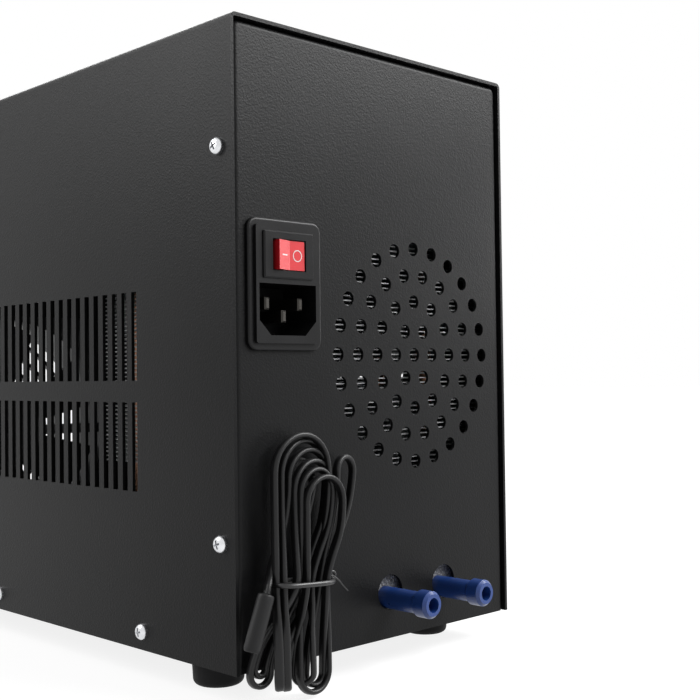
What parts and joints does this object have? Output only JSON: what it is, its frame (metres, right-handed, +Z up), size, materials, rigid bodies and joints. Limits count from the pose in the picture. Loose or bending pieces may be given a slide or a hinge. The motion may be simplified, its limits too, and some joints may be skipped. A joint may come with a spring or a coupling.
{
  "type": "aquarium chiller",
  "caption": "Upright thermoelectric aquarium chiller in a black slotted steel cover, with hose stubs, power inlet with rocker switch, round grille, fan and probe cord.",
  "frame": {"origin": "on the floor under the middle of the chiller's footprint, hose stubs and finger guard included, probe cord left out", "axes": "+Z up; +Y out of the rear panel, where the hose stubs and the power inlet are; +X towards the side where the power inlet is"},
  "size_m": [0.1379, 0.321, 0.215],
  "materials": {
    "cover_paint": "fine textured black powder coat",
    "chassis_paint": "fine textured black powder coat",
    "screw_zinc": "bright zinc plated",
    "foot_rubber": "matte moulded rubber",
    "inlet_black": "satin moulded plastic",
    "pin_brass": "nickel plated brass",
    "rocker_red": "glossy translucent red",
    "stub_blue": "satin blue plastic",
    "seal_rubber": "matte",
    "core_aluminium": "milled",
    "foam": "closed cell foam, grey",
    "module_ceramic": "white ceramic",
    "fin_aluminium": "rolled sheet",
    "pipe_copper": "copper tube",
    "fan_black": "satin moulded plastic",
    "shelf_steel": "zinc coated sheet",
    "supply_case": "folded sheet case",
    "terminal_black": "moulded",
    "bezel_black": "satin moulded plastic",
    "window_smoke": "smoked clear plastic",
    "button_grey": "satin moulded plastic",
    "board_green": "laminate with parts",
    "display_grey": "digit block",
    "cord_black": "satin cord jacket",
    "probe_black": "smooth plastic capsule",
    "tie_black": "plastic covered wire"
  },
  "bodies": {
    "cabinet": {"base_pan": "chassis_paint", "rear_panel": "chassis_paint", "front_panel": "chassis_paint", "cover": "cover_paint", "cover_screws": "screw_zinc", "foot_rear_left": "foot_rubber", "foot_rear_right": "foot_rubber", "foot_front_left": "foot_rubber", "foot_front_right": "foot_rubber", "foot_screws": "screw_zinc", "foot_nuts": "screw_zinc", "inlet_housing": "inlet_black", "inlet_pins": "pin_brass", "switch_bezel": "inlet_black", "outlet_stub": "stub_blue", "inlet_stub": "stub_blue", "stub_seals": "seal_rubber", "water_block": "core_aluminium", "foam_cladding": "foam", "thermoelectric_modules": "module_ceramic", "sink_base_rear": "core_aluminium", "heat_pipes_rear": "pipe_copper", "fins_rear": "fin_aluminium", "sink_base_front": "core_aluminium", "heat_pipes_front": "pipe_copper", "fins_front": "fin_aluminium", "clamp_screws": "screw_zinc", "fan_frame": "fan_black", "finger_guard": "fan_black", "fan_screws": "screw_zinc", "shelf": "shelf_steel", "power_supply": "supply_case", "supply_screws": "screw_zinc", "terminal_block": "terminal_black", "control_bezel": "bezel_black", "display_window": "window_smoke", "control_board": "board_green", "digit_display": "display_grey", "cord_grommet": "foot_rubber", "cord_exit_lead": "cord_black", "cord_hank": "cord_black", "cord_tie": "tie_black", "temperature_probe": "probe_black", "probe_lead": "cord_black"},
    "rotor": {"fan_rotor": "fan_black"},
    "rocker": {"switch_rocker": "rocker_red"},
    "down_button": {"button_down": "button_grey"},
    "set_button": {"button_set": "button_grey"},
    "up_button": {"button_up": "button_grey"}
  },
  "joints": [
    {"name": "fan_spin", "type": "hinge", "parent": "cabinet", "child": "rotor", "pos_m": [0, -0.1435, 0.0746], "axis": [0, 1, 0], "continuous": true},
    {"name": "rocker_tilt", "type": "hinge", "parent": "cabinet", "child": "rocker", "pos_m": [0.0457, 0.141, 0.1402], "axis": [0, 0, 1], "range_deg": [-18, 0]},
    {"name": "down_press", "type": "slide", "parent": "cabinet", "child": "down_button", "axis": [0, 1, 0], "range_m": [0, 0.0006], "stiffness_N_per_m": 400, "springref_m": -0.001},
    {"name": "set_press", "type": "slide", "parent": "cabinet", "child": "set_button", "axis": [0, 1, 0], "range_m": [0, 0.0006], "stiffness_N_per_m": 400, "springref_m": -0.001},
    {"name": "up_press", "type": "slide", "parent": "cabinet", "child": "up_button", "axis": [0, 1, 0], "range_m": [0, 0.0006], "stiffness_N_per_m": 400, "springref_m": -0.001}
  ]
}
